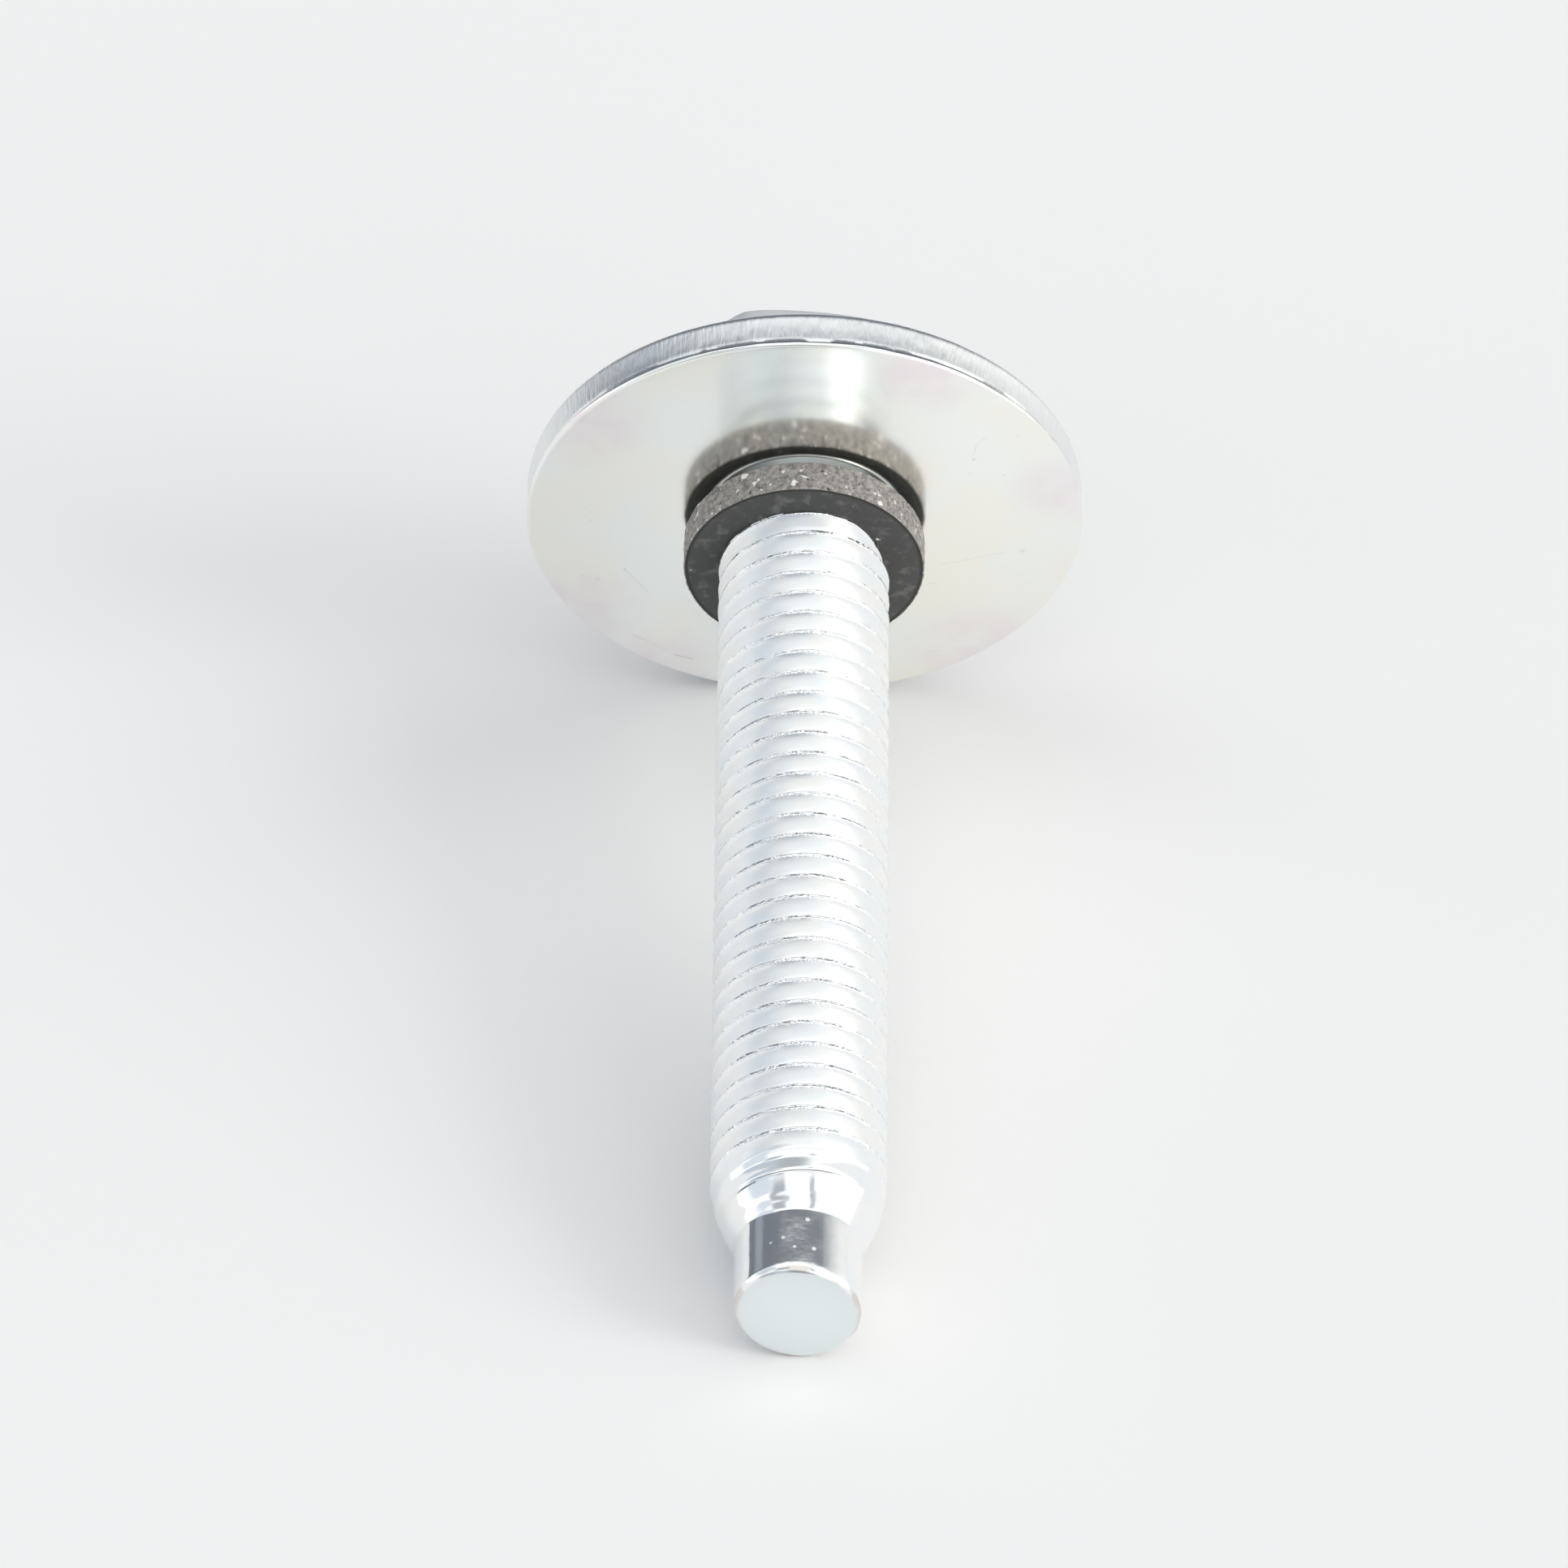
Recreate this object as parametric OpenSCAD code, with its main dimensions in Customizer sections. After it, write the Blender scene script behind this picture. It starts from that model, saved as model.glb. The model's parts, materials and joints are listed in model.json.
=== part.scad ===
// Hexagon-head machine screw with a captive flat washer, a soft retaining ring and a dog point.
// It lies as it comes to rest: on the washer's rim and the lower edge of the dog point.
// Lengths are in mm. The screw is drawn upright, head below and tip up, and then laid down.

/* [Thread and shank] */
// Outside diameter over the thread crests, nominal size 10
thread_d = 9.85; // [8:0.05:12]
// Plain neck under the head, the diameter of the blank before the thread is rolled
neck_d = 9.1; // [7.2:0.05:11]
// Length from the bearing face under the head to the middle of the end
length = 60; // [40:0.5:100]
// Round where the neck meets the head
neck_round = 0.3; // [0.1:0.05:0.5]

/* [Dog point] */
// Diameter of the plain dog point
dog_d = 7; // [5:0.05:8]
// Length of the dog point, from the shoulder to the middle of the end
dog_len = 4.65; // [3:0.05:8]
// Radius of the bullet-shaped shoulder between the thread and the dog
shoulder_r = 9; // [5:0.1:14]
// Hollow round where the shoulder runs into the dog
shoulder_fillet = 0.8; // [0.3:0.05:1.5]
// Round on the edge of the end
dog_edge = 0.45; // [0.2:0.05:0.8]
// Slant of the cropped end towards the right, in degrees
crop_right = 3.4; // [0:0.1:6]
// Slant of the cropped end towards the lower side, in degrees
crop_down = 5.8; // [0:0.1:8]

/* [Hexagon head] */
// Width across the flats
head_af = 17; // [14:0.5:20]
// Height of the head
head_h = 6.4; // [5:0.1:9]
// Diameter of the round bearing face under the head
bearing_d = 15.6; // [11.5:0.1:17]
// Height of the bearing face's step
bearing_h = 0.5; // [0.2:0.05:0.8]
// Angle of the chamfer on the corners
chamfer_deg = 20; // [15:1:35]
// Turn of the hexagon, from a corner at the top
head_turn = 22; // [0:1:59]

/* [Captive washer] */
// Outside diameter
washer_d = 32; // [22:0.5:40]
// Thickness
washer_t = 2.5; // [1.2:0.1:3.5]
// Hole, free of the thread so that the washer turns and slides
washer_hole_d = 11; // [10.4:0.1:13]
// Round of the front edge
washer_front_round = 0.25; // [0.1:0.05:0.5]
// Round of the back edge, where the punch drew the metal down
washer_back_round = 0.45; // [0.1:0.05:0.6]
// Width of the drawn-in front edge of the hole
hole_draw = 1; // [0.3:0.05:1.5]
// Depth of the drawn-in front edge of the hole
hole_sink = 0.34; // [0.1:0.02:0.6]
// How far the loose washer leans, with its top towards the tip, in degrees
washer_lean = 2.8; // [0:0.1:4]
// Clearance between the washer's back and the bearing face, at the lower edge of the face
washer_clear = 0.05; // [0.02:0.01:0.3]
// Clearance between the neck and the lower side of the washer's hole, where the neck hangs in it
washer_touch = 0.06; // [0.04:0.01:0.3]

/* [Retaining ring] */
// Outside diameter
ring_d = 13.9; // [12.5:0.1:20]
// Thickness
ring_t = 2; // [1:0.1:3]
// Play between the ring and the middle of the washer's front
ring_play = 0.9; // [0.7:0.05:4]
// Clearance of the ring's bore on the neck
ring_clear = 0.02; // [0.01:0.01:0.1]

/* [Hidden] */
fine = 96;
thread_r = thread_d / 2;
neck_r = neck_d / 2;
dog_r = dog_d / 2;
washer_r = washer_d / 2;
bearing_r = bearing_d / 2;
hole_r = washer_hole_d / 2;
// the arc of the hole's drawn-in edge is tangent to the washer's front
draw_r = (hole_draw * hole_draw + hole_sink * hole_sink) / (2 * hole_sink);
// the loose washer: the neck hangs in its hole, and its lower side leans back to the head
washer_up = hole_r * cos(washer_lean) - neck_r - washer_touch;
washer_back = washer_clear + (bearing_r + washer_up) * tan(washer_lean);
// the ring sits on the neck in front of the washer, and the thread starts in front of the ring
ring_at = washer_back + washer_t * cos(washer_lean) + ring_play;
thread_start = ring_at + ring_t;
// the shoulder is an arc that leaves the thread's cylinder at a tangent and ends on the dog
shoulder_drop = thread_r - dog_r;
shoulder_len = sqrt(2 * shoulder_r * shoulder_drop - shoulder_drop * shoulder_drop);
thread_end = length - dog_len - shoulder_len;
arc_x = thread_r - shoulder_r;
fillet_x = dog_r + shoulder_fillet;
fillet_z = thread_end + sqrt(pow(shoulder_r + shoulder_fillet, 2) - pow(fillet_x - arc_x, 2));
fillet_k = shoulder_r / (shoulder_r + shoulder_fillet);
// the head
corner_r = head_af / sqrt(3);
chamfer_r = 0.49 * head_af;
chamfer_h = (corner_r - chamfer_r) * tan(chamfer_deg);
// the resting place: a floor that touches the washer's front edge and the dog's lower edge
rim_t = washer_t - washer_front_round;
rim_d = washer_r - washer_front_round;
rim_z = washer_back + rim_t * cos(washer_lean) - rim_d * sin(washer_lean);
rim_r = rim_t * sin(washer_lean) + rim_d * cos(washer_lean) - washer_up;
crop_r = dog_r + 0.06;
edge_r = (crop_r - dog_edge) * cos(crop_down) + dog_edge * sin(crop_down);
edge_z = length + (crop_r - dog_edge) * sin(crop_down) - dog_edge * cos(crop_down);
low_z = edge_z + sqrt(dog_edge * dog_edge - pow(dog_r - edge_r, 2));
span = norm([low_z - rim_z, rim_r - dog_r]);
lean = atan((rim_r - dog_r) / (low_z - rim_z)) + asin(washer_front_round / span);
rest_h = rim_z * sin(lean) + rim_r * cos(lean) + washer_front_round;
// the middle of the part, from the tip to the back of the head
tip_y = -(length - dog_r * tan(crop_down)) * cos(lean) - (dog_r - dog_edge) * sin(lean);
back_y = head_h * cos(lean) + chamfer_r * sin(lean);
mid_y = (tip_y + back_y) / 2;

// Lays an upright piece down on the washer's rim and the tip, with the tip to the front
module laid() {
    translate([0, -mid_y, rest_h])
        rotate([90 + lean, 0, 0])
            children();
}

// What is left outside a round of radius r in the corner at x, z; sx and sz point into the piece
module corner_waste(x, z, sx, sz, r) {
    difference() {
        translate([x - (sx < 0 ? r : 1), z - (sz < 0 ? r : 1)])
            square(r + 1);
        translate([x + sx * r, z + sz * r])
            circle(r, $fn = fine);
    }
}

// What the punch drew in from the front edge of the washer's hole
module drawn_waste() {
    difference() {
        translate([hole_r - 1, washer_t - hole_sink])
            square([hole_draw + 1, hole_sink + 1]);
        translate([hole_r + hole_draw, washer_t - draw_r])
            circle(draw_r, $fn = fine);
    }
}

// Half section of the shank: neck, thread cylinder, bullet shoulder and dog
module shank_section() {
    square([neck_r, thread_start + 1]);
    translate([0, thread_start])
        square([thread_r, thread_end - thread_start]);
    intersection() {
        translate([arc_x, thread_end])
            circle(shoulder_r, $fn = 4 * fine);
        translate([0, thread_end - 1])
            square([thread_r, length - thread_end]);
    }
    translate([0, thread_end])
        square([dog_r, length + 2 - thread_end]);
    difference() {
        polygon([
            [0, thread_end],
            [arc_x + (fillet_x - arc_x) * fillet_k, thread_end + (fillet_z - thread_end) * fillet_k],
            [fillet_x, fillet_z],
            [0, fillet_z]
        ]);
        translate([fillet_x, fillet_z])
            circle(shoulder_fillet, $fn = fine);
    }
    difference() {
        translate([0, -0.1])
            square([neck_r + neck_round, neck_round + 0.1]);
        translate([neck_r + neck_round, neck_round])
            circle(neck_round, $fn = fine);
    }
}

// Everything behind the slanted, rounded end that the cropping tool leaves
module cropped() {
    translate([0, 0, length])
        rotate([-crop_down, -crop_right, 0])
            rotate_extrude($fn = fine)
                difference() {
                    translate([0, -2 * length])
                        square([washer_d, 2 * length]);
                    translate([crop_r, -dog_edge])
                        square([washer_d, dog_edge + 1]);
                    corner_waste(crop_r, 0, -1, -1, dog_edge);
                }
}

// Hexagon with chamfered corners on a round bearing face
module head() {
    cylinder(d = bearing_d, h = bearing_h + 0.1, $fn = fine);
    intersection() {
        translate([0, 0, bearing_h])
            rotate([0, 0, 30 + head_turn])
                cylinder(r = corner_r, h = head_h - bearing_h, $fn = 6);
        rotate_extrude($fn = fine)
            polygon([
                [0, 0],
                [corner_r + 1, 0],
                [corner_r + 1, head_h - chamfer_h - tan(chamfer_deg)],
                [corner_r, head_h - chamfer_h],
                [chamfer_r, head_h],
                [0, head_h]
            ]);
    }
}

// The screw itself, cold formed and thread rolled from one bar
module screw() {
    color([0.78, 0.8, 0.81])
        laid() {
            intersection() {
                rotate_extrude($fn = fine)
                    shank_section();
                cropped();
            }
            mirror([0, 0, 1])
                head();
        }
}

// The loose washer: punched from sheet, with drawn edges at the back of the rim and the front of the hole
module washer() {
    color([0.8, 0.81, 0.8])
        laid()
            translate([0, washer_up, washer_back])
                rotate([washer_lean, 0, 0])
                    rotate_extrude($fn = fine)
                        difference() {
                            translate([hole_r, 0])
                                square([washer_r - hole_r, washer_t]);
                            corner_waste(washer_r, washer_t, -1, -1, washer_front_round);
                            corner_waste(washer_r, 0, -1, 1, washer_back_round);
                            drawn_waste();
                        }
}

// The die-cut fibre ring that keeps the washer on the screw
module retaining_ring() {
    color([0.25, 0.25, 0.24])
        laid()
            translate([0, 0, ring_at])
                rotate_extrude($fn = fine)
                    translate([neck_r + ring_clear, 0])
                        square([ring_d / 2 - neck_r - ring_clear, ring_t]);
}

screw();
washer();
retaining_ring();
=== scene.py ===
import json
import math

import bmesh
import bpy
from mathutils import Matrix, Vector, noise


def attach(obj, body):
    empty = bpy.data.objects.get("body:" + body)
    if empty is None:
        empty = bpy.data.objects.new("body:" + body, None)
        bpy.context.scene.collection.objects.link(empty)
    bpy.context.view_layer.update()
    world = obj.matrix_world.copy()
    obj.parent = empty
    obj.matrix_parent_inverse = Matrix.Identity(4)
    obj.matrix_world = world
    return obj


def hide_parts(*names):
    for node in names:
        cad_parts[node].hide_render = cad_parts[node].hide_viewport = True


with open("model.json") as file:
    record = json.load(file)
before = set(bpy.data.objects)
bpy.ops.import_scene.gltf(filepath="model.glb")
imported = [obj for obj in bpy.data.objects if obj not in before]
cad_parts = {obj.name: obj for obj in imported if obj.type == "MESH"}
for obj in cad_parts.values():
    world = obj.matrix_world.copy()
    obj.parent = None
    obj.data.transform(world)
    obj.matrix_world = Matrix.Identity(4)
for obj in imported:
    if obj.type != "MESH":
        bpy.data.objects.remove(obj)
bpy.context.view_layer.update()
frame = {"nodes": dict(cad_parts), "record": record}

mm = 0.001
record = frame["record"]
mounts = {m["name"]: m for m in record["mounts"]}
washerJoint = record["behaviour"]["joints"][0]
print("frame loaded:", sorted(frame["nodes"]))


# a place whose z runs along an axis, with x to the right of the photograph
def placeAlong(origin, axis):
    along = Vector(axis).normalized()
    right = Vector((1, 0, 0))
    up = along.cross(right).normalized()
    place = Matrix((right, up, along)).transposed().to_4x4()
    place.translation = Vector(origin)
    return place


def smoothMin(a, b, blend):
    overlap = max(blend - abs(a - b), 0) / blend
    return min(a, b) - overlap * overlap * blend / 4


def smoothMax(a, b, blend):
    return -smoothMin(-a, -b, blend)


# points on a round from one angle to another, in degrees
def roundPoints(centerR, centerZ, radius, fromDeg, toDeg, steps):
    points = []
    for i in range(steps + 1):
        turn = math.radians(fromDeg + (toDeg - fromDeg) * i / steps)
        points.append((centerR + radius * math.cos(turn), centerZ + radius * math.sin(turn)))
    return points


# points on a straight line, without its first end
def linePoints(start, end, steps):
    points = []
    for i in range(1, steps + 1):
        share = i / steps
        points.append((start[0] + (end[0] - start[0]) * share, start[1] + (end[1] - start[1]) * share))
    return points


# a chain of vertices and edges in the plane at one angle round the axis
def chain(bm, section, turn=0.0):
    verts = [bm.verts.new((r * math.cos(turn), r * math.sin(turn), z)) for r, z in section]
    edges = [bm.edges.new(pair) for pair in zip(verts, verts[1:])]
    return verts + edges


# a closed section turned all the way round
def turnSection(bm, section, columns):
    geom = chain(bm, section + section[:1])
    bmesh.ops.spin(bm, geom=geom, cent=(0, 0, 0), axis=(0, 0, 1), dvec=(0, 0, 0),
                   angle=math.tau, steps=columns, use_merge=True)
    bmesh.ops.remove_doubles(bm, verts=bm.verts, dist=1e-5)


# extrudes an open loop and sets each new vertex by its angle
def growLoop(bm, edges, placeAt):
    grown = bmesh.ops.extrude_edge_only(bm, edges=edges)["geom"]
    newVerts = {g for g in grown if isinstance(g, bmesh.types.BMVert)}
    for vert in newVerts:
        turn = math.atan2(vert.co.y, vert.co.x)
        r, z = placeAt(turn)
        vert.co = (r * math.cos(turn), r * math.sin(turn), z)
    return [e for v in newVerts for e in v.link_edges if e.verts[0] == v and e.other_vert(v) in newVerts]


def edgeLoopAt(bm, z):
    return [e for e in bm.edges if e.is_boundary and all(abs(v.co.z - z) < 1e-4 for v in e.verts)]


# moves a bmesh from its own millimetres to its place, and makes the piece of it
def finishPiece(bm, name, place, sharpDeg):
    bmesh.ops.remove_doubles(bm, verts=bm.verts, dist=1e-4)
    bmesh.ops.recalc_face_normals(bm, faces=bm.faces)
    bmesh.ops.transform(bm, matrix=place @ Matrix.Scale(mm, 4), verts=bm.verts)
    mesh = bpy.data.meshes.new(name)
    bm.to_mesh(mesh)
    bm.free()
    mesh.shade_smooth()
    mesh.set_sharp_from_angle(angle=math.radians(sharpDeg))
    piece = bpy.data.objects.new(name, mesh)
    bpy.context.collection.objects.link(piece)
    print(name, "made:", len(mesh.polygons), "faces")
    return piece


# a node of a material or world, with its inputs set by name or number
def addNode(tree, kind, inputs=None, **settings):
    node = tree.nodes.new(kind)
    for key, value in settings.items():
        setattr(node, key, value)
    for key, value in (inputs or {}).items():
        if isinstance(value, bpy.types.NodeSocket):
            tree.links.new(value, node.inputs[key])
        else:
            node.inputs[key].default_value = value
    return node


def mathNode(tree, operation, *values, clamp=False):
    node = addNode(tree, "ShaderNodeMath", dict(enumerate(values)), operation=operation, use_clamp=clamp)
    return node.outputs[0]


def mapRange(tree, value, fromMin, fromMax, toMin=0.0, toMax=1.0):
    node = addNode(tree, "ShaderNodeMapRange", interpolation_type="SMOOTHSTEP",
                   inputs={"Value": value, "From Min": fromMin, "From Max": fromMax,
                           "To Min": toMin, "To Max": toMax})
    return node.outputs[0]


def mixColor(tree, share, first, second, blend="MIX"):
    node = addNode(tree, "ShaderNodeMix", data_type="RGBA", blend_type=blend,
                   inputs={0: share, 6: first, 7: second})
    return node.outputs[2]


def noiseNode(tree, vector, scale, detail=2.0, roughness=0.5):
    node = addNode(tree, "ShaderNodeTexNoise",
                   inputs={"Vector": vector, "Scale": scale, "Detail": detail, "Roughness": roughness})
    return node.outputs[0]


def vectorNode(tree, operation, first, second):
    node = addNode(tree, "ShaderNodeVectorMath", {0: first, 1: second}, operation=operation)
    return node.outputs["Value" if operation in ("DISTANCE", "DOT_PRODUCT") else "Vector"]


# a value between two values
def mixValue(tree, share, first, second):
    return addNode(tree, "ShaderNodeMix", {0: share, 2: first, 3: second}).outputs[0]


# a bump of a depth in millimetres, on top of another bump
def bumpNode(tree, height, depth, strength=1.0, under=None):
    inputs = {"Strength": strength, "Distance": depth * mm, "Height": height}
    if under:
        inputs["Normal"] = under
    return addNode(tree, "ShaderNodeBump", inputs).outputs[0]


# Object coordinates in millimetres of a piece's own place, so that patterns can follow its axis
def ownCoordinates(tree, place):
    coords = addNode(tree, "ShaderNodeTexCoord").outputs["Object"]
    back = place.inverted()
    mapping = addNode(tree, "ShaderNodeMapping", vector_type="POINT", inputs={"Vector": coords})
    mapping.inputs["Location"].default_value = back.translation / mm
    mapping.inputs["Rotation"].default_value = back.to_euler()
    mapping.inputs["Scale"].default_value = (1 / mm, 1 / mm, 1 / mm)
    return mapping.outputs[0]


def newMaterial(name):
    material = bpy.data.materials.new(name)
    material.use_nodes = True
    tree = material.node_tree
    return material, tree, tree.nodes["Principled BSDF"]


# the screw: helical thread, bullet shoulder, dog point and hexagon head in one mesh
screwSet = {
    "headHeight": 6.4,
    "acrossFlats": 17.0,
    "bearingR": 7.8,
    "bearingStep": 0.5,
    "headTurn": 22.0,
    "chamferShare": 0.49,
    "chamferDeg": 20.0,
    "headEdge": 0.18,
    "cornerTrim": 0.22,
    "cornerBlend": 0.5,
    "neckR": 4.55,
    "neckRound": 0.3,
    "length": 60.0,
    "pitch": 1.5,
    "threadPhase": 0.62,
    "crestDip": 0.006,
    "seamDepth": 0.06,
    "rootDepth": 0.845,
    "crestBlend": 0.06,
    "rootBlend": 0.16,
    # heights of the section's points from the middle of the crest
    "sectionSteps": (0.0, 0.045, 0.07, 0.094, 0.118, 0.145, 0.3, 0.46, 0.57, 0.63, 0.69, 0.75),
    "rollWaver": 0.012,
    "crestNick": 0.045,
    "columns": 96,
    "threadLead": 0.15,
    "shoulderR": 9.0,
    "shoulderFillet": 0.4,
    "runOut": 0.05,
    "dogEdge": 0.45,
    "cropRight": 3.4,
    "cropDown": 5.8,
}
threadMount = mounts["thread"]
screwAxis = Vector(threadMount["axis"]).normalized()
headTop = Vector(mounts["hexagon_drive"]["pos_m"])
screwPlace = placeAlong(headTop + screwAxis * screwSet["headHeight"] * mm, screwAxis)
threadR = threadMount["dims"]["r_mm"]
threadMid = (screwPlace.inverted() @ Vector(threadMount["pos_m"])).z / mm
threadStart = threadMid - threadMount["dims"]["length_mm"] / 2
threadEnd = threadMid + threadMount["dims"]["length_mm"] / 2
dogR = mounts["dog_point"]["dims"]["r_mm"]


# radius of a rolled thread at a height from the middle of its crest
def threadRadius(z):
    s = screwSet
    sharpR = threadR + s["pitch"] * math.cos(math.radians(30)) / 8
    flank = sharpR - abs(z) / math.tan(math.radians(30))
    crest = threadR - s["crestDip"] * math.exp(-(z / 0.02) ** 2)
    return smoothMin(crest, smoothMax(threadR - s["rootDepth"], flank, s["rootBlend"]), s["crestBlend"])


# the blank's own surface, which the thread can't stand out of
def blankRadius(z):
    s = screwSet
    if z < threadStart:
        return s["neckR"] + min(max(z - threadStart + s["threadLead"], 0) * 2, threadR - s["neckR"])
    if z < threadEnd:
        return threadR
    drop = s["shoulderR"] - math.sqrt(max(s["shoulderR"] ** 2 - (z - threadEnd) ** 2, 0))
    return max(threadR - drop, dogR)


def makeScrew():
    s = screwSet
    bm = bmesh.new()
    columns, pitch = s["columns"], s["pitch"]
    bottom = threadStart - 2.2 * pitch
    turns = math.ceil((threadEnd + 6 - bottom) / pitch)
    # the columns fall on the hexagon's corners
    cornerTurn = math.radians(90 + s["headTurn"])
    stepTurn = math.tau / columns
    firstTurn = cornerTurn % stepTurn
    # at the top of the screw the grooves lie at threadPhase plus whole pitches
    crestShift = s["threadPhase"] + pitch / 2 - pitch * (math.pi / 2 - firstTurn) / math.tau
    firstCrest = bottom + (crestShift - bottom) % pitch
    heights = sorted({-z for z in s["sectionSteps"]} | set(s["sectionSteps"]))
    section = [(threadRadius(z), firstCrest + z) for z in heights]
    seamR = threadRadius(0)
    geom = chain(bm, section, firstTurn)
    bmesh.ops.spin(bm, geom=geom, cent=(0, 0, 0), axis=(0, 0, 1), dvec=(0, 0, pitch / columns),
                   angle=math.tau, steps=columns)
    oneTurn = bm.verts[:] + bm.edges[:] + bm.faces[:]
    for k in range(1, turns):
        copied = bmesh.ops.duplicate(bm, geom=oneTurn)["geom"]
        copiedVerts = [g for g in copied if isinstance(g, bmesh.types.BMVert)]
        bmesh.ops.translate(bm, verts=copiedVerts, vec=(0, 0, k * pitch))
    bmesh.ops.remove_doubles(bm, verts=bm.verts, dist=1e-3)
    # the rolled surface wavers a little, and it runs out on the shoulder
    for vert in bm.verts:
        r = math.hypot(vert.co.x, vert.co.y)
        waver = s["rollWaver"] * noise.noise(vert.co * 0.9)
        if abs(r - seamR) < 1e-4:
            waver -= s["seamDepth"] * max(0.35 + 1.7 * noise.noise(vert.co * 1.3), 0)
        onCrest = min(max((r - threadR + 0.2) / 0.15, 0), 1)
        waver += s["crestNick"] * onCrest * noise.noise(vert.co * 2.7 + Vector((5, 2, 9)))
        limit = smoothMin(r + waver, blankRadius(vert.co.z), 0.05)
        scale = limit / r
        vert.co.x *= scale
        vert.co.y *= scale
    # the shoulder is round where the grooves have run out
    rootR = threadR - s["rootDepth"]
    roundDrop = s["shoulderR"] - (threadR - rootR) - 0.05
    topCut = threadEnd + math.sqrt(s["shoulderR"] ** 2 - roundDrop ** 2)
    lowCut = threadStart - 0.6
    bmesh.ops.bisect_plane(bm, geom=bm.verts[:] + bm.edges[:] + bm.faces[:], dist=1e-5,
                           plane_co=(0, 0, topCut), plane_no=(0, 0, 1), clear_outer=True)
    bmesh.ops.bisect_plane(bm, geom=bm.verts[:] + bm.edges[:] + bm.faces[:], dist=1e-5,
                           plane_co=(0, 0, lowCut), plane_no=(0, 0, -1), clear_outer=True)
    growDog(bm, topCut)
    growHead(bm, lowCut)
    return finishPiece(bm, "screw_body", screwPlace, 32)


def growDog(bm, topCut):
    s = screwSet
    arcR = threadR - s["shoulderR"]
    filletR = dogR + s["shoulderFillet"]
    reach = s["shoulderR"] + s["shoulderFillet"]
    filletZ = threadEnd + math.sqrt(reach ** 2 - (filletR - arcR) ** 2)
    share = s["shoulderR"] / reach
    meetR = arcR + (filletR - arcR) * share
    meetZ = threadEnd + (filletZ - threadEnd) * share
    outline = []
    for i in range(1, 13):
        z = topCut + (meetZ - topCut) * i / 12
        outline.append((arcR + math.sqrt(s["shoulderR"] ** 2 - (z - threadEnd) ** 2), z))
    startDeg = math.degrees(math.atan2(meetZ - filletZ, meetR - filletR))
    outline += roundPoints(filletR, filletZ, s["shoulderFillet"], startDeg % 360, 180, 6)[1:]
    straightEnd = s["length"] - s["dogEdge"] - 0.6
    outline += linePoints((dogR, filletZ), (dogR, straightEnd), 5)
    edges = edgeLoopAt(bm, topCut)

    # the dies run out here: one more faint groove, and a wavering surface
    def ridged(turn, r, z):
        fade = math.sin(math.pi * min(max((z - topCut) / (filletZ - topCut), 0), 1))
        phase = (z - s["threadPhase"]) / s["pitch"] - (turn - math.pi / 2) / math.tau
        groove = max(math.cos(math.tau * phase), 0) ** 2
        rough = noise.noise(Vector((r * math.cos(turn), r * math.sin(turn), z)) * 0.9)
        return r - s["runOut"] * fade * (0.35 + groove + 0.8 * rough), z

    for r, z in outline:
        edges = growLoop(bm, edges, lambda turn, r=r, z=z: ridged(turn, r, z))
    # the end slants as the cropping tool left it
    right = math.tan(math.radians(s["cropRight"]))
    down = math.tan(math.radians(s["cropDown"]))
    rounded = roundPoints(dogR - s["dogEdge"], s["length"] - s["dogEdge"], s["dogEdge"], 0, 90, 7)
    rounded += linePoints(rounded[-1], (0.5, s["length"]), 8)
    for r, z in rounded:
        edges = growLoop(bm, edges, lambda turn, r=r, z=z: (
            r, z + r * (math.cos(turn) * right - math.sin(turn) * down)))
    endVerts = list({v for e in edges for v in e.verts})
    bmesh.ops.pointmerge(bm, verts=endVerts, merge_co=(0, 0, s["length"]))


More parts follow.
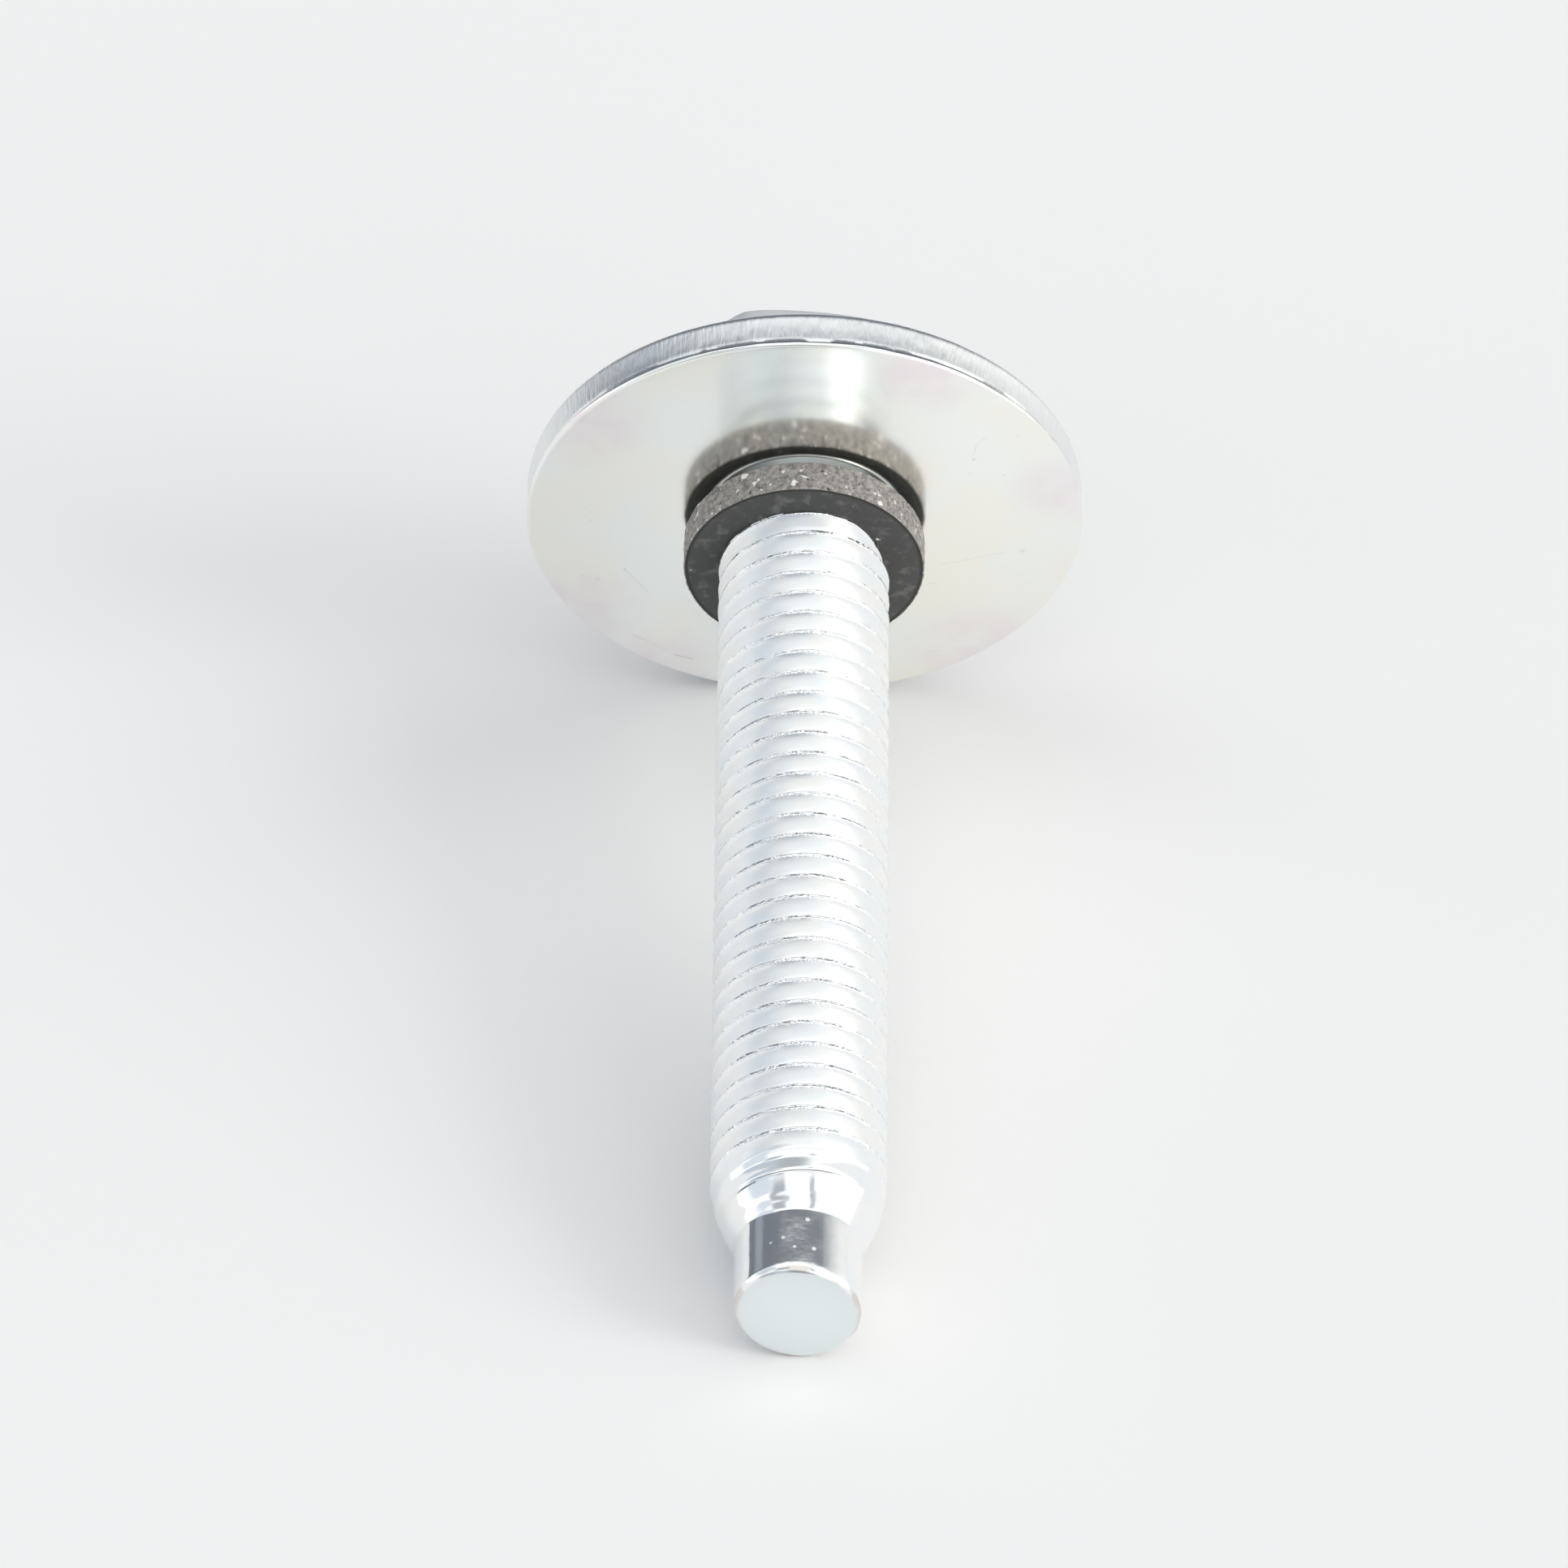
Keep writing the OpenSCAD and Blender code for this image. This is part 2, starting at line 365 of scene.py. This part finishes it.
def growHead(bm, lowCut):
    s = screwSet
    apothem = s["acrossFlats"] / 2
    chamferR = s["acrossFlats"] * s["chamferShare"]
    slope = math.tan(math.radians(s["chamferDeg"]))
    firstCorner = math.radians(90 + s["headTurn"])

    cornerR = apothem / math.cos(math.radians(30)) - s["cornerTrim"]

    def hexR(turn, inset=0.0):
        side = (turn - firstCorner) % math.radians(60)
        flat = (apothem - inset) / math.cos(side - math.radians(30))
        return smoothMin(flat, cornerR - inset, s["cornerBlend"])

    def hexTop(turn, inset=0.0):
        return -s["headHeight"] + max(hexR(turn, inset) - chamferR, 0) * slope

    neckR, neckRound = s["neckR"], s["neckRound"]
    outline = linePoints((neckR, lowCut), (neckR, neckRound), 4)
    outline += roundPoints(neckR + neckRound, neckRound, neckRound, 180, 270, 4)[1:]
    outline += linePoints(outline[-1], (s["bearingR"] - 0.1, 0), 4)
    outline += roundPoints(s["bearingR"] - 0.1, -0.1, 0.1, 90, 0, 3)[1:]
    outline.append((s["bearingR"], -s["bearingStep"]))
    edges = edgeLoopAt(bm, lowCut)
    for r, z in outline:
        edges = growLoop(bm, edges, lambda turn, r=r, z=z: (r, z))
    edge, under = s["headEdge"], -s["bearingStep"]
    edges = growLoop(bm, edges, lambda turn: (hexR(turn, edge), under))
    for deg in (30, 60, 90):
        lift = edge * (1 - math.cos(math.radians(deg)))
        inset = edge * (1 - math.sin(math.radians(deg)))
        edges = growLoop(bm, edges, lambda turn, lift=lift, inset=inset: (hexR(turn, inset), under - lift))
    for share in (0.33, 0.66, 0.97):
        edges = growLoop(bm, edges, lambda turn, share=share: (
            hexR(turn), under - edge + (hexTop(turn) + edge - under) * share))
    for inset in (0.02, 0.07):
        edges = growLoop(bm, edges, lambda turn, inset=inset: (hexR(turn, inset), hexTop(turn, inset)))
    for share in (0.5, 1.0):
        edges = growLoop(bm, edges, lambda turn, share=share: (
            hexR(turn, 0.07) + (chamferR - hexR(turn, 0.07)) * share,
            hexTop(turn, 0.07) + (-s["headHeight"] - hexTop(turn, 0.07)) * share))
    for r in (chamferR - 0.12, chamferR * 0.6, chamferR * 0.25):
        edges = growLoop(bm, edges, lambda turn, r=r: (r, -s["headHeight"]))
    endVerts = list({v for e in edges for v in e.verts})
    bmesh.ops.pointmerge(bm, verts=endVerts, merge_co=(0, 0, -s["headHeight"]))


# the loose washer: smooth front edge, a crease, then the torn band that the punch left
washerSet = {
    "outerR": 16.0,
    "holeR": 5.5,
    "thickness": 2.5,
    "frontRound": 0.25,
    "backRound": 0.45,
    "holeRound": 0.15,
    "holeDraw": 1.0,
    "holeSink": 0.34,
    "creaseDepth": 0.06,
    "creaseWidth": 0.12,
    "tornDepth": 0.028,
    "bandTaper": 0.07,
    "bandHollow": 0.035,
    "columns": 480,
}
washerPlace = placeAlong(washerJoint["pos_m"], washerJoint["axis"])


def makeWasher():
    s = washerSet
    half = s["thickness"] / 2
    outer, hole = s["outerR"], s["holeR"]
    front, back, inner = s["frontRound"], s["backRound"], s["holeRound"]
    draw, sink = s["holeDraw"], s["holeSink"]
    drawR = (draw ** 2 + sink ** 2) / (2 * sink)
    startDeg = math.degrees(math.atan2(drawR - sink, -draw))
    section = roundPoints(hole + draw, half - drawR, drawR, startDeg, 90, 10)
    section += linePoints(section[-1], (outer - front, half), 10)
    section += roundPoints(outer - front, half - front, front, 90, 0, 5)[1:]
    bandTop = half - front
    section += linePoints((outer, bandTop), (outer, back - half), 16)
    section += roundPoints(outer - back, back - half, back, 0, -90, 6)[1:]
    section += linePoints(section[-1], (hole + inner, -half), 8)
    section += roundPoints(hole + inner, inner - half, inner, 270, 180, 4)[1:]
    bm = bmesh.new()
    turnSection(bm, section, s["columns"])
    for vert in bm.verts:
        r = math.hypot(vert.co.x, vert.co.y)
        if r < outer - back:
            continue
        turn = math.atan2(vert.co.y, vert.co.x)
        around = Vector((math.cos(turn), math.sin(turn), 0)) * outer
        wander = 0.1 * noise.noise(around * 0.35) + 0.05 * noise.noise(around * 1.3)
        crease = (vert.co.z - bandTop + 0.12 - wander) / s["creaseWidth"]
        sink = s["creaseDepth"] * math.exp(-crease * crease)
        if vert.co.z < bandTop - 0.16 + wander:
            torn = noise.noise(Vector((around.x * 1.1, around.y * 1.1, vert.co.z * 0.5)))
            fine = noise.noise(Vector((around.x * 3.5, around.y * 3.5, vert.co.z * 1.6 + 7)))
            sink += s["tornDepth"] * (0.5 + 0.5 * torn + 0.45 * fine)
            share = min(max((vert.co.z + half - back) / (bandTop + half - back), 0), 1)
            sink += s["bandTaper"] * share + s["bandHollow"] * math.sin(math.pi * share)
        scale = (r - sink) / r
        vert.co.x *= scale
        vert.co.y *= scale
    return finishPiece(bm, "washer_disc", washerPlace, 40)


# the soft ring: die-cut from fibre sheet, with a granular edge and a torn bore
ringSet = {
    "outerR": 6.95,
    "boreR": 4.57,
    "thickness": 2.0,
    "edgeRound": 0.06,
    "grain": 0.05,
    "boreTear": 0.16,
    "columns": 420,
    "nibs": ((178.0, -0.2), (2.0, -0.1), (140.0, 0.8), (35.0, -0.7)),
}
ringMid = threadStart - ringSet["thickness"] / 2


def makeRing():
    s = ringSet
    half, edge = s["thickness"] / 2, s["edgeRound"]
    section = [(s["boreR"], half - 0.02)]
    section += linePoints(section[-1], (s["outerR"] - edge, half), 8)
    section += roundPoints(s["outerR"] - edge, half - edge, edge, 90, 0, 3)[1:]
    section += linePoints(section[-1], (s["outerR"], edge - half), 14)
    section += roundPoints(s["outerR"] - edge, edge - half, edge, 0, -90, 3)[1:]
    section += linePoints(section[-1], (s["boreR"], -half), 6)
    bm = bmesh.new()
    turnSection(bm, section, s["columns"])
    for vert in bm.verts:
        r = math.hypot(vert.co.x, vert.co.y)
        turn = math.atan2(vert.co.y, vert.co.x)
        move = 0.0
        if r > s["outerR"] - 2 * edge:
            coarse = noise.noise(vert.co * 1.6)
            fine = noise.noise(vert.co * 4.5 + Vector((3, 1, 5)))
            move = -s["grain"] * (0.6 + 0.5 * coarse + 0.7 * fine)
            for deg, z in s["nibs"]:
                gap = (math.degrees(turn) - deg + 180) % 360 - 180
                away = (gap * s["outerR"] * math.pi / 180 / 0.12) ** 2 + ((vert.co.z - z) / 0.12) ** 2
                move += 0.09 * math.exp(-away)
        elif r < s["boreR"] + 0.01 and vert.co.z > 0:
            torn = noise.noise(vert.co * 2.1) + 0.4 * noise.noise(vert.co * 6)
            move = max(s["boreTear"] * torn, -0.12)
        scale = (r + move) / r
        vert.co.x *= scale
        vert.co.y *= scale
        vert.co.z += 0.02 * noise.noise(vert.co * 0.9)
    place = screwPlace @ Matrix.Translation((0, 0, ringMid * mm))
    return finishPiece(bm, "soft_ring", place, 50)


# bright zinc on the screw, glossy, with a faint blue cast, nicked crests and fine grain
zincSet = {
    "cool": (0.93, 0.955, 0.97, 1),
    "warm": (0.965, 0.965, 0.95, 1),
    "end": (0.8, 0.845, 0.85, 1),
    # painted shade: a broken beige band on the rounded edge of the cropped end
    "endEdge": (0.74, 0.71, 0.68, 1),
    "metal": 0.9,
    "crestRough": 0.14,
    "flankRough": 0.34,
    "dogRough": 0.1,
    "dogHaze": 0.15,
    "headRough": 0.5,
    "dogDent": 0.009,
    # rough specks on the dog: place and size
    "specks": (((-0.82, 3.4, 57.3), 0.17), ((0.86, 3.39, 58.05), 0.2), ((-0.2, 3.49, 58.0), 0.15),
               ((0.5, 3.46, 56.1), 0.2), ((-1.5, 3.16, 57.5), 0.12)),
    "nickSize": 0.28,
    "nickDepth": 0.1,
    "grainDepth": 0.0007,
}


# distance from the axis of a piece
def axisDistance(tree, own):
    split = addNode(tree, "ShaderNodeSeparateXYZ", {"Vector": own})
    squares = mathNode(tree, "ADD", mathNode(tree, "POWER", split.outputs[0], 2.0),
                       mathNode(tree, "POWER", split.outputs[1], 2.0))
    return mathNode(tree, "SQRT", squares), split.outputs[2]


def zincMaterial():
    s = zincSet
    material, tree, shader = newMaterial("bright_zinc")
    own = ownCoordinates(tree, screwPlace)
    radius, along = axisDistance(tree, own)
    cloud = noiseNode(tree, own, 0.6, 3.0)
    color = mixColor(tree, mapRange(tree, cloud, 0.35, 0.65), s["cool"], s["warm"])
    threadRough = mapRange(tree, radius, threadR - 0.3, threadR - 0.04, s["flankRough"], s["crestRough"])
    onDog = mapRange(tree, along, threadEnd, threadEnd + 2.5)
    haze = noiseNode(tree, own, 0.8, 2.0)
    dogRough = mapRange(tree, haze, 0.4, 0.75, s["dogRough"], s["dogHaze"])
    for middle, size in s["specks"]:
        gap = vectorNode(tree, "DISTANCE", own, middle)
        dogRough = mathNode(tree, "MAXIMUM", dogRough, mapRange(tree, gap, size, 0.15 * size, 0.0, 0.75))
    rough = mixValue(tree, onDog, threadRough, dogRough)
    onHead = mapRange(tree, along, 0.0, -0.4)
    rough = mixValue(tree, onHead, rough, s["headRough"])
    # the cropped end is duller, and a broken beige band of painted shade runs round its rounded edge
    right = math.tan(math.radians(screwSet["cropRight"]))
    down = math.tan(math.radians(screwSet["cropDown"]))
    depth = vectorNode(tree, "DOT_PRODUCT", own, (-right, down, 1))
    end = screwSet["length"]
    onEnd = mapRange(tree, depth, end - 0.1, end - 0.02)
    # noise breaks up the band of painted shade on the end's edge
    shadeBreakup = mapRange(tree, noiseNode(tree, own, 0.7, 1.0), 0.42, 0.58)
    onEdge = mathNode(tree, "MULTIPLY", mapRange(tree, depth, end - 0.42, end - 0.3), shadeBreakup)
    color = mixColor(tree, onEdge, color, s["endEdge"])
    color = mixColor(tree, onEnd, color, s["end"])
    # the crests carry the nicks of rolling and plating
    onThread = mapRange(tree, along, threadStart - 0.6, threadStart)
    onCrest = mathNode(tree, "MULTIPLY", onThread, mapRange(tree, radius, threadR - 0.12, threadR - 0.02))
    nicks = noiseNode(tree, own, 1 / s["nickSize"], 2.0, 0.6)
    nickBump = bumpNode(tree, nicks, s["nickDepth"], onCrest)
    dents = noiseNode(tree, own, 1.3, 2.0, 0.5)
    dentBump = bumpNode(tree, dents, s["dogDent"], onDog, nickBump)
    grain = noiseNode(tree, own, 7.0, 4.0, 0.6)
    bump = bumpNode(tree, grain, s["grainDepth"], under=dentBump)
    shader.inputs["Metallic"].default_value = s["metal"]
    tree.links.new(color, shader.inputs["Base Color"])
    tree.links.new(rough, shader.inputs["Roughness"])
    tree.links.new(bump, shader.inputs["Normal"])
    return material


# the washer's zinc: satin, with faint yellow and violet tints, a streaked torn rim, and marks of handling
washerFinish = {
    "yellow": (0.975, 0.97, 0.905, 1),
    "pale": (0.955, 0.98, 0.96, 1),
    "violet": (0.92, 0.87, 0.89, 1),
    "rim": (0.87, 0.885, 0.885, 1),
    "mark": (0.2, 0.21, 0.2, 1),
    "faceRough": 0.165,
    "rimRough": 0.36,
    "grainDepth": 0.0006,
    "streakDepth": 0.06,
    "streakStretch": 0.13,
    # places with a violet cast: middle and reach
    "casts": (((-13.2, -8.2), 5.0), ((-8.5, -13.5), 4.5), ((10.5, -12.0), 5.5), ((-12.8, 9.0), 5.0),
              ((7.0, 13.5), 4.5), ((14.8, 3.0), 4.0)),
    # rubs and scratches: ends, width and depth of shade
    "scratches": (((-10.37, -4.57), (-9.0, -6.7), 0.1, 0.1), ((-9.92, -10.72), (-9.26, -11.14), 0.05, 0.22),
                  ((-9.26, -11.14), (-7.93, -12.16), 0.06, 0.09),
                  ((-7.52, -12.54), (-6.42, -12.94), 0.07, 0.25),
                  ((7.96, -3.84), (11.63, -2.6), 0.07, 0.09), ((9.64, 6.31), (9.77, 7.19), 0.06, 0.14),
                  ((9.77, 7.19), (10.34, 7.93), 0.06, 0.12), ((7.3, -5.55), (7.65, -5.62), 0.06, 0.14),
                  ((7.4, -12.0), (7.9, -11.9), 0.06, 0.16)),
    # small pits: place, size and depth of shade
    "pits": ((-10.37, -4.57, 0.12, 0.3), (-11.94, -5.54, 0.16, 0.14), (-12.86, -5.22, 0.18, 0.08),
             (-12.25, 0.72, 0.1, 0.16), (-12.31, -0.09, 0.12, 0.12), (9.65, 5.86, 0.12, 0.25),
             (9.49, 4.53, 0.12, 0.12), (12.14, 8.04, 0.12, 0.14), (11.42, 4.46, 0.12, 0.16),
             (12.6, -2.48, 0.25, 0.12), (8.9, -10.9, 0.1, 0.14)),
}


# shade of a rub between two ends on the face
def scratchShade(tree, flat, start, end, width, depth):
    first = Vector((*start, 0))
    run = Vector((*end, 0)) - first
    away = vectorNode(tree, "SUBTRACT", flat, first)
    dot = vectorNode(tree, "DOT_PRODUCT", away, run / run.length_squared)
    share = mathNode(tree, "ADD", dot, 0.0, clamp=True)
    foot = addNode(tree, "ShaderNodeVectorMath", {0: run, "Scale": share}, operation="SCALE").outputs[0]
    gap = vectorNode(tree, "DISTANCE", away, foot)
    return mapRange(tree, gap, width, 0.2 * width, 0.0, depth)


# share of a soft round spot on the face
def spotShare(tree, flat, middle, inner, outer):
    gap = vectorNode(tree, "DISTANCE", flat, Vector((*middle, 0)))
    return mapRange(tree, gap, outer, inner)


def washerMaterial():
    s = washerFinish
    material, tree, shader = newMaterial("satin_zinc")
    own = ownCoordinates(tree, washerPlace)
    radius, along = axisDistance(tree, own)
    flat = vectorNode(tree, "MULTIPLY", own, (1, 1, 0))
    broad = noiseNode(tree, own, 0.16, 2.0)
    color = mixColor(tree, mapRange(tree, broad, 0.4, 0.62), s["pale"], s["yellow"])
    cast = 0.0
    for middle, reach in s["casts"]:
        cast = mathNode(tree, "MAXIMUM", cast, spotShare(tree, flat, middle, 0.2 * reach, reach))
    patchy = mapRange(tree, noiseNode(tree, own, 0.5, 2.0), 0.3, 0.65, 0.35, 1.0)
    cast = mathNode(tree, "MULTIPLY", cast, patchy)
    color = mixColor(tree, cast, color, s["violet"])
    shade = 0.0
    for mark in s["scratches"]:
        shade = mathNode(tree, "MAXIMUM", shade, scratchShade(tree, flat, *mark))
    for x, y, size, depth in s["pits"]:
        spot = spotShare(tree, flat, (x, y), 0.3 * size, size)
        shade = mathNode(tree, "MAXIMUM", shade, mathNode(tree, "MULTIPLY", spot, depth))
    onFace = mapRange(tree, along, 1.1, 1.2)
    color = mixColor(tree, mathNode(tree, "MULTIPLY", shade, onFace), color, s["mark"])
    onRim = mapRange(tree, radius, washerSet["outerR"] - 0.24, washerSet["outerR"] - 0.12)
    onBand = mathNode(tree, "MULTIPLY", onRim, mapRange(tree, along, 1.02, 0.86))
    # the torn band is streaked along the axis
    drawn = vectorNode(tree, "MULTIPLY", own, (1, 1, s["streakStretch"]))
    streak = noiseNode(tree, drawn, 4.2, 3.0, 0.6)
    color = mixColor(tree, onBand, color, s["rim"])
    rough = mixValue(tree, onBand, s["faceRough"], s["rimRough"])
    streakBump = bumpNode(tree, streak, s["streakDepth"], onBand)
    grain = noiseNode(tree, own, 5.0, 5.0, 0.65)
    bump = bumpNode(tree, grain, s["grainDepth"], under=streakBump)
    shader.inputs["Metallic"].default_value = 1.0
    tree.links.new(color, shader.inputs["Base Color"])
    tree.links.new(rough, shader.inputs["Roughness"])
    tree.links.new(bump, shader.inputs["Normal"])
    return material


# the ring: charcoal face, brown-grey granular edge with pale specks
fibreSet = {
    "face": (0.07, 0.07, 0.068, 1),
    "faceLight": (0.14, 0.142, 0.134, 1),
    "faceRim": (0.032, 0.032, 0.03, 1),
    "edgeDark": (0.16, 0.152, 0.145, 1),
    "edgeLight": (0.39, 0.365, 0.34, 1),
    "speck": (0.85, 0.81, 0.77, 1),
    "pit": (0.05, 0.045, 0.04, 1),
    "rough": 0.7,
    "gritDepth": 0.06,
}


def fibreMaterial():
    s = fibreSet
    material, tree, shader = newMaterial("charcoal_fibre")
    place = screwPlace @ Matrix.Translation((0, 0, ringMid * mm))
    own = ownCoordinates(tree, place)
    radius, along = axisDistance(tree, own)
    onEdge = mapRange(tree, radius, ringSet["outerR"] - 0.13, ringSet["outerR"] - 0.07)
    cloud = noiseNode(tree, own, 1.1, 3.0, 0.6)
    grit = noiseNode(tree, own, 3.4, 3.0, 0.65)
    faceColor = mixColor(tree, mapRange(tree, cloud, 0.5, 0.72), s["face"], s["faceLight"])
    byRim = mapRange(tree, radius, ringSet["outerR"] - 0.36, ringSet["outerR"] - 0.2)
    faceColor = mixColor(tree, byRim, faceColor, s["faceRim"])
    edgeColor = mixColor(tree, mapRange(tree, grit, 0.3, 0.66), s["edgeDark"], s["edgeLight"])
    pitted = mapRange(tree, noiseNode(tree, own, 2.7, 1.0), 0.3, 0.24)
    edgeColor = mixColor(tree, pitted, edgeColor, s["pit"])
    color = mixColor(tree, onEdge, faceColor, edgeColor)
    # pale specks of filler, thick on the cut edge and rare on the face
    speckNoise = noiseNode(tree, own, 2.3, 1.5)
    patch = noiseNode(tree, own, 0.9, 1.0)
    lift = mathNode(tree, "MULTIPLY", mathNode(tree, "SUBTRACT", patch, 0.5), 0.35)
    rare = mapRange(tree, onEdge, 0.0, 1.0, -0.13, 0.0)
    level = mathNode(tree, "ADD", mathNode(tree, "ADD", speckNoise, lift), rare)
    color = mixColor(tree, mapRange(tree, level, 0.63, 0.72), color, s["speck"])
    bump = bumpNode(tree, grit, s["gritDepth"], 0.6)
    shader.inputs["Roughness"].default_value = s["rough"]
    tree.links.new(color, shader.inputs["Base Color"])
    tree.links.new(bump, shader.inputs["Normal"])
    return material


def dressPiece(piece, material, body, node):
    piece.data.materials.append(material)
    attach(piece, body)
    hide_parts(node)


dressPiece(makeScrew(), zincMaterial(), "screw", "screw")
dressPiece(makeWasher(), washerMaterial(), "washer", "washer")
dressPiece(makeRing(), fibreMaterial(), "screw", "retaining_ring")
print("pieces dressed")

# a plain pale floor
floorSet = {"reach": 0.5, "color": (0.93, 0.922, 0.912, 1)}


def makeFloor():
    bm = bmesh.new()
    bmesh.ops.create_circle(bm, cap_ends=True, segments=64, radius=floorSet["reach"])
    mesh = bpy.data.meshes.new("floor")
    bm.to_mesh(mesh)
    bm.free()
    floor = bpy.data.objects.new("floor", mesh)
    bpy.context.collection.objects.link(floor)
    material, tree, shader = newMaterial("pale_floor")
    shader.inputs["Base Color"].default_value = floorSet["color"]
    shader.inputs["Roughness"].default_value = 0.9
    shader.inputs["Specular IOR Level"].default_value = 0.1
    mesh.materials.append(material)


makeFloor()

# soft studio light: a broad key from the right, a pale room, and darker panels at the front, left and back
keySet = {"azimuthDeg": 114.0, "elevationDeg": 25.5, "spreadDeg": 26.0, "strength": 0.85,
          "color": (1.0, 0.99, 0.975)}
# azimuth 0 is behind the object, 90 is on its right
roomSet = {
    "strength": 1.14,
    "base": (1.01, 1.02, 1.025, 1),
    "left": (0.6, 0.66, 0.73, 1),
    "right": (1.1, 1.09, 1.06, 1),
    "front": (0.34, 0.37, 0.4, 1),
    "frontRight": (1.06, 1.05, 1.03, 1),
    "gap": (0.34, 0.37, 0.41, 1),
    "wall": (0.105, 0.12, 0.145, 1),
    "wallSpot": (0.24, 0.26, 0.3, 1),
    "frontLeft": (0.42, 0.48, 0.55, 1),
}


def skyDirection(azimuthDeg, elevationDeg):
    azimuth, elevation = math.radians(azimuthDeg), math.radians(elevationDeg)
    return Vector((math.sin(azimuth) * math.cos(elevation), math.cos(azimuth) * math.cos(elevation),
                   math.sin(elevation)))


def makeKey():
    lamp = bpy.data.lights.new("key", "SUN")
    lamp.energy = keySet["strength"]
    lamp.angle = math.radians(keySet["spreadDeg"])
    lamp.color = keySet["color"]
    key = bpy.data.objects.new("key", lamp)
    towards = skyDirection(keySet["azimuthDeg"], keySet["elevationDeg"])
    key.rotation_euler = towards.to_track_quat("Z", "Y").to_euler()
    bpy.context.collection.objects.link(key)


# a soft round patch of the room about one direction
def roomPatch(tree, direction, azimuthDeg, elevationDeg, innerDeg, outerDeg):
    middle = skyDirection(azimuthDeg, elevationDeg)
    dot = vectorNode(tree, "DOT_PRODUCT", direction, middle)
    return mapRange(tree, dot, math.cos(math.radians(outerDeg)), math.cos(math.radians(innerDeg)))


# soft limits along the axes of the room, multiplied
def roomPanel(tree, *limits):
    share = 1.0
    for value, dark, bright in limits:
        share = mathNode(tree, "MULTIPLY", share, mapRange(tree, value, dark, bright))
    return share


def makeRoom():
    s = roomSet
    world = bpy.data.worlds.new("room")
    bpy.context.scene.world = world
    world.use_nodes = True
    tree = world.node_tree
    background = tree.nodes["Background"]
    direction = addNode(tree, "ShaderNodeTexCoord").outputs["Generated"]
    split = addNode(tree, "ShaderNodeSeparateXYZ", {"Vector": direction})
    x, y, z = split.outputs
    left = roomPanel(tree, (x, -0.52, -0.68), (y, 0.5, 0.4), (y, -0.5, -0.3), (z, 0.22, 0.4))
    right = roomPanel(tree, (x, 0.6, 0.78))
    front = roomPatch(tree, direction, 188, 9, 12, 28)
    frontRight = roomPatch(tree, direction, 138, 8, 10, 30)
    inFront = ((y, -0.14, -0.34), (y, -0.74, -0.62), (z, 0.3, 0.42))
    gapLeft = roomPanel(tree, (x, -0.26, -0.36), (x, -0.68, -0.52), *inFront)
    gapRight = roomPanel(tree, (x, 0.23, 0.29), (x, 0.4, 0.33), *inFront)
    gap = mathNode(tree, "MAXIMUM", gapLeft, gapRight)
    wall = roomPanel(tree, (y, 0.39, 0.44), (x, 1.0, 0.46))
    wallSpot = roomPatch(tree, direction, -51, 18, 3, 9)
    frontLeft = roomPatch(tree, direction, 213, 6, 14, 27)
    # later panels cover earlier ones
    panels = {"left": left, "right": right, "frontRight": frontRight, "front": front, "gap": gap,
              "wall": wall, "wallSpot": wallSpot, "frontLeft": frontLeft}
    color = s["base"]
    for name, share in panels.items():
        color = mixColor(tree, share, color, s[name])
    tree.links.new(color, background.inputs["Color"])
    background.inputs["Strength"].default_value = s["strength"]


makeKey()
makeRoom()
print("light set")

# the camera of the photograph
cameraSet = {
    "place": (-0.001026, -0.510964, 0.419212),
    "elevationDeg": 38.4145,
    "rollDeg": 0.573,
    "lens": 266.543,
    "sensor": 36.0,
}


def makeCamera():
    data = bpy.data.cameras.new("camera")
    data.lens = cameraSet["lens"]
    data.sensor_width = cameraSet["sensor"]
    data.clip_start = 0.01
    data.clip_end = 20
    camera = bpy.data.objects.new("camera", data)
    tip = Matrix.Rotation(math.radians(90 - cameraSet["elevationDeg"]), 4, "X")
    roll = Matrix.Rotation(math.radians(cameraSet["rollDeg"]), 4, "Z")
    camera.matrix_world = Matrix.Translation(cameraSet["place"]) @ tip @ roll
    bpy.context.collection.objects.link(camera)
    bpy.context.scene.camera = camera


makeCamera()
bpy.context.scene.view_settings.view_transform = "Standard"
